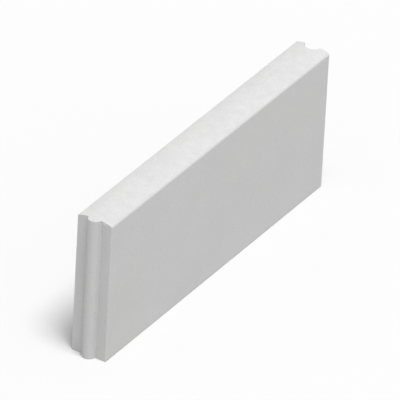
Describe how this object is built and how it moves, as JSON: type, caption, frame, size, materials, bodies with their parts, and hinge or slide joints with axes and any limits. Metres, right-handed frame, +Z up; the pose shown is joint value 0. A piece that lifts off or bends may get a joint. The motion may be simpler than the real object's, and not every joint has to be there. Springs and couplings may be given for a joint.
{
  "type": "kerb stone",
  "caption": "Slim rectangular concrete kerb stone with a gently crowned top, a half-round tongue on one end and a matching groove in the other.",
  "frame": {"origin": "middle of the bed, the flat underside, halfway between the two end faces of the laying length", "axes": "+X along the stone from its tongue end to its groove end, -Y out of the front face, +Z up from the bed to the crowned top"},
  "size_m": [0.5085, 0.05, 0.2],
  "materials": {
    "concrete": "matte"
  },
  "bodies": {
    "root": {"kerb_stone": "concrete"}
  },
  "joints": []
}
